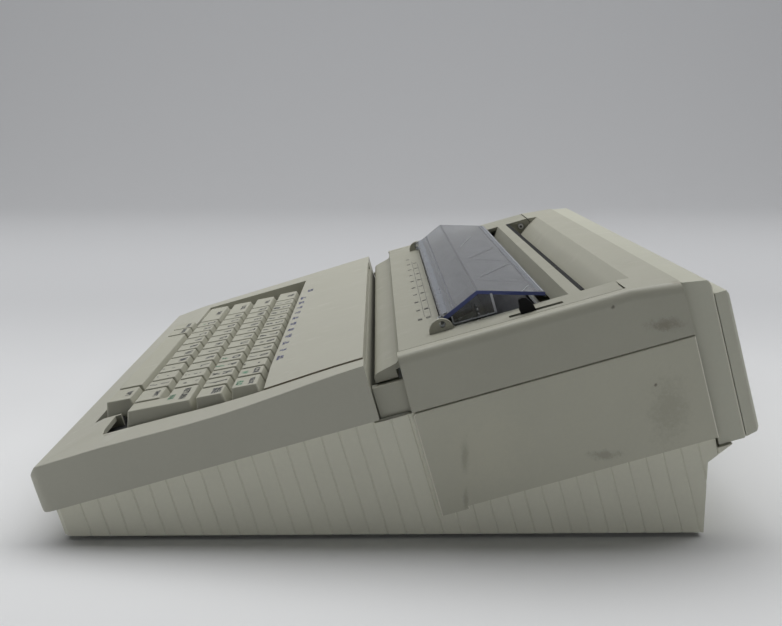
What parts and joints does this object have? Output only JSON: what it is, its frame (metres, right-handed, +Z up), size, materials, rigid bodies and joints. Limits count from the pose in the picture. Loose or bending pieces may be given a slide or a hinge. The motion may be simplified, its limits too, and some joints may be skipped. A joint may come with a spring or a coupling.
{
  "type": "electronic typewriter",
  "caption": "Portable electronic typewriter with sloped keyboard, hinged top cover over a print wheel mechanism, smoked clear cover and paper chute.",
  "frame": {"origin": "on the table, midway between the sides and midway between front and back", "axes": "+Z up, +X to the right of the person typing, +Y away from them"},
  "size_m": [0.396, 0.3805, 0.1373],
  "materials": {
    "case_plastic": "fine texture, warm grey-beige",
    "skirt_plastic": "satin, slightly darker grey-beige",
    "keycap_plastic": "fine matte, light grey",
    "smoky_clear": "clear, smoke tinted",
    "black_plastic": "satin black",
    "rubber": "matte black",
    "roller_rubber": "smooth dark",
    "steel": "plain sheet and rod",
    "motor_steel": "grey",
    "grey_plastic": "dark grey",
    "circuit_board": "green board",
    "transformer_iron": "laminated core and windings as one block"
  },
  "bodies": {
    "case": {"base_tray": "skirt_plastic", "carriage_belt": "roller_rubber", "carriage_motor": "motor_steel", "carriage_rail": "steel", "contact_membrane": "rubber", "deck_panel": "case_plastic", "front_crossbar": "steel", "front_left_foot": "rubber", "front_right_foot": "rubber", "guide_rail": "steel", "keyboard_circuit_board": "circuit_board", "keyboard_housing": "case_plastic", "keyboard_plate": "steel", "left_frame_plate": "steel", "left_side_panel": "case_plastic", "main_circuit_board": "circuit_board", "mains_inlet": "black_plastic", "paper_deflector": "steel", "platen_motor": "motor_steel", "rear_case": "case_plastic", "rear_cover": "case_plastic", "rear_left_foot": "rubber", "rear_panel": "case_plastic", "rear_right_foot": "rubber", "right_frame_plate": "steel", "right_side_panel": "case_plastic", "transformer": "transformer_iron"},
    "top_cover": {"top_cover": "case_plastic"},
    "clear_cover": {"clear_cover": "smoky_clear"},
    "paper_release_lever": {"paper_release_lever": "black_plastic"},
    "mains_switch": {"mains_switch": "black_plastic"},
    "number_keys": {"number_keys": "keycap_plastic"},
    "upper_letter_keys": {"upper_letter_keys": "keycap_plastic"},
    "home_letter_keys": {"home_letter_keys": "keycap_plastic"},
    "lower_letter_keys": {"lower_letter_keys": "keycap_plastic"},
    "margin_key": {"margin_key": "keycap_plastic"},
    "correction_key": {"correction_key": "keycap_plastic"},
    "relocate_key": {"relocate_key": "keycap_plastic"},
    "tab_key": {"tab_key": "keycap_plastic"},
    "backspace_key": {"backspace_key": "keycap_plastic"},
    "shift_lock_key": {"shift_lock_key": "keycap_plastic"},
    "left_shift_key": {"left_shift_key": "keycap_plastic"},
    "right_shift_key": {"right_shift_key": "keycap_plastic"},
    "code_key": {"code_key": "keycap_plastic"},
    "index_key": {"index_key": "keycap_plastic"},
    "repeat_key": {"repeat_key": "keycap_plastic"},
    "return_key": {"return_key": "keycap_plastic"},
    "space_bar": {"space_bar": "keycap_plastic"},
    "carriage": {"carriage_frame": "grey_plastic", "wheel_motor": "motor_steel", "ribbon_cassette": "black_plastic"},
    "print_wheel": {"print_wheel": "black_plastic"},
    "print_hammer": {"print_hammer": "steel"},
    "platen": {"platen_roller": "roller_rubber", "platen_shaft": "steel", "platen_gear": "grey_plastic"},
    "motor_pinion": {"motor_pinion": "grey_plastic"},
    "feed_rollers": {"feed_rollers": "roller_rubber"},
    "drive_pulley": {"drive_pulley": "grey_plastic"},
    "idler_pulley": {"idler_pulley": "grey_plastic"}
  },
  "joints": [
    {"name": "top_cover_hinge", "type": "hinge", "parent": "case", "child": "top_cover", "pos_m": [0, 0.11171, 0.12568], "axis": [-1, 0, 0], "range_deg": [0, 65]},
    {"name": "clear_cover_hinge", "type": "hinge", "parent": "top_cover", "child": "clear_cover", "pos_m": [0, 0.02491, 0.10989], "axis": [1, 0, 0], "range_deg": [0, 95]},
    {"name": "paper_release_pivot", "type": "hinge", "parent": "case", "child": "paper_release_lever", "pos_m": [0.1808, 0.09037, 0.07904], "axis": [-1, 0, 0], "range_deg": [0, 13]},
    {"name": "mains_switch_rock", "type": "hinge", "parent": "case", "child": "mains_switch", "pos_m": [-0.195, 0.128, 0.07105], "axis": [0, -0.274, 0.9617], "range_deg": [0, 12]},
    {"name": "number_keys_press", "type": "slide", "parent": "case", "child": "number_keys", "axis": [0, 0.1925, -0.9813], "range_m": [0, 0.0035], "stiffness_N_per_m": 500, "springref_m": -0.002},
    {"name": "upper_letter_keys_press", "type": "slide", "parent": "case", "child": "upper_letter_keys", "axis": [0, 0.1925, -0.9813], "range_m": [0, 0.0035], "stiffness_N_per_m": 500, "springref_m": -0.002},
    {"name": "home_letter_keys_press", "type": "slide", "parent": "case", "child": "home_letter_keys", "axis": [0, 0.1925, -0.9813], "range_m": [0, 0.0035], "stiffness_N_per_m": 500, "springref_m": -0.002},
    {"name": "lower_letter_keys_press", "type": "slide", "parent": "case", "child": "lower_letter_keys", "axis": [0, 0.1925, -0.9813], "range_m": [0, 0.0035], "stiffness_N_per_m": 500, "springref_m": -0.002},
    {"name": "margin_key_press", "type": "slide", "parent": "case", "child": "margin_key", "axis": [0, 0.1925, -0.9813], "range_m": [0, 0.0035], "stiffness_N_per_m": 180, "springref_m": -0.002},
    {"name": "correction_key_press", "type": "slide", "parent": "case", "child": "correction_key", "axis": [0, 0.1925, -0.9813], "range_m": [0, 0.0035], "stiffness_N_per_m": 180, "springref_m": -0.002},
    {"name": "relocate_key_press", "type": "slide", "parent": "case", "child": "relocate_key", "axis": [0, 0.1925, -0.9813], "range_m": [0, 0.0035], "stiffness_N_per_m": 180, "springref_m": -0.002},
    {"name": "tab_key_press", "type": "slide", "parent": "case", "child": "tab_key", "axis": [0, 0.1925, -0.9813], "range_m": [0, 0.0035], "stiffness_N_per_m": 180, "springref_m": -0.002},
    {"name": "backspace_key_press", "type": "slide", "parent": "case", "child": "backspace_key", "axis": [0, 0.1925, -0.9813], "range_m": [0, 0.0035], "stiffness_N_per_m": 180, "springref_m": -0.002},
    {"name": "shift_lock_key_press", "type": "slide", "parent": "case", "child": "shift_lock_key", "axis": [0, 0.1925, -0.9813], "range_m": [0, 0.0035], "stiffness_N_per_m": 180, "springref_m": -0.002},
    {"name": "left_shift_key_press", "type": "slide", "parent": "case", "child": "left_shift_key", "axis": [0, 0.1925, -0.9813], "range_m": [0, 0.0035], "stiffness_N_per_m": 180, "springref_m": -0.002},
    {"name": "right_shift_key_press", "type": "slide", "parent": "case", "child": "right_shift_key", "axis": [0, 0.1925, -0.9813], "range_m": [0, 0.0035], "stiffness_N_per_m": 180, "springref_m": -0.002},
    {"name": "code_key_press", "type": "slide", "parent": "case", "child": "code_key", "axis": [0, 0.1925, -0.9813], "range_m": [0, 0.0035], "stiffness_N_per_m": 180, "springref_m": -0.002},
    {"name": "index_key_press", "type": "slide", "parent": "case", "child": "index_key", "axis": [0, 0.1925, -0.9813], "range_m": [0, 0.0035], "stiffness_N_per_m": 180, "springref_m": -0.002},
    {"name": "repeat_key_press", "type": "slide", "parent": "case", "child": "repeat_key", "axis": [0, 0.1925, -0.9813], "range_m": [0, 0.0035], "stiffness_N_per_m": 180, "springref_m": -0.002},
    {"name": "return_key_press", "type": "slide", "parent": "case", "child": "return_key", "axis": [0, 0.1925, -0.9813], "range_m": [0, 0.0035], "stiffness_N_per_m": 260, "springref_m": -0.002},
    {"name": "space_bar_press", "type": "slide", "parent": "case", "child": "space_bar", "axis": [0, 0.1925, -0.9813], "range_m": [0, 0.0035], "stiffness_N_per_m": 260, "springref_m": -0.002},
    {"name": "carriage_slide", "type": "slide", "parent": "case", "child": "carriage", "axis": [1, 0, 0], "range_m": [-0.105, 0.105]},
    {"name": "print_wheel_spin", "type": "hinge", "parent": "carriage", "child": "print_wheel", "pos_m": [0.006, 0.0681, 0.05502], "axis": [0, 0.9617, 0.274], "continuous": true},
    {"name": "print_hammer_strike", "type": "slide", "parent": "carriage", "child": "print_hammer", "axis": [0, 0.9617, 0.274], "range_m": [0, 0.002], "stiffness_N_per_m": 200, "springref_m": -0.001},
    {"name": "platen_spin", "type": "hinge", "parent": "case", "child": "platen", "pos_m": [0, 0.07829, 0.09224], "axis": [1, 0, 0], "continuous": true},
    {"name": "motor_pinion_spin", "type": "hinge", "parent": "case", "child": "motor_pinion", "pos_m": [-0.1645, 0.10372, 0.07809], "axis": [1, 0, 0], "continuous": true},
    {"name": "feed_rollers_spin", "type": "hinge", "parent": "case", "child": "feed_rollers", "pos_m": [0, 0.08443, 0.0707], "axis": [1, 0, 0], "continuous": true},
    {"name": "drive_pulley_spin", "type": "hinge", "parent": "case", "child": "drive_pulley", "pos_m": [-0.136, 0.01894, 0.03998], "axis": [0, 0.9617, 0.274], "range_deg": [-760, 760]},
    {"name": "idler_pulley_spin", "type": "hinge", "parent": "case", "child": "idler_pulley", "pos_m": [0.148, 0.01894, 0.03998], "axis": [0, 0.9617, 0.274], "range_deg": [-760, 760]}
  ],
  "couplings": [
    {"joint": "motor_pinion_spin", "follows": "platen_spin", "ratio": -3},
    {"joint": "feed_rollers_spin", "follows": "platen_spin", "ratio": -2.1429},
    {"joint": "drive_pulley_spin", "follows": "carriage_slide", "rad_per_m": 125},
    {"joint": "idler_pulley_spin", "follows": "carriage_slide", "rad_per_m": 125}
  ]
}
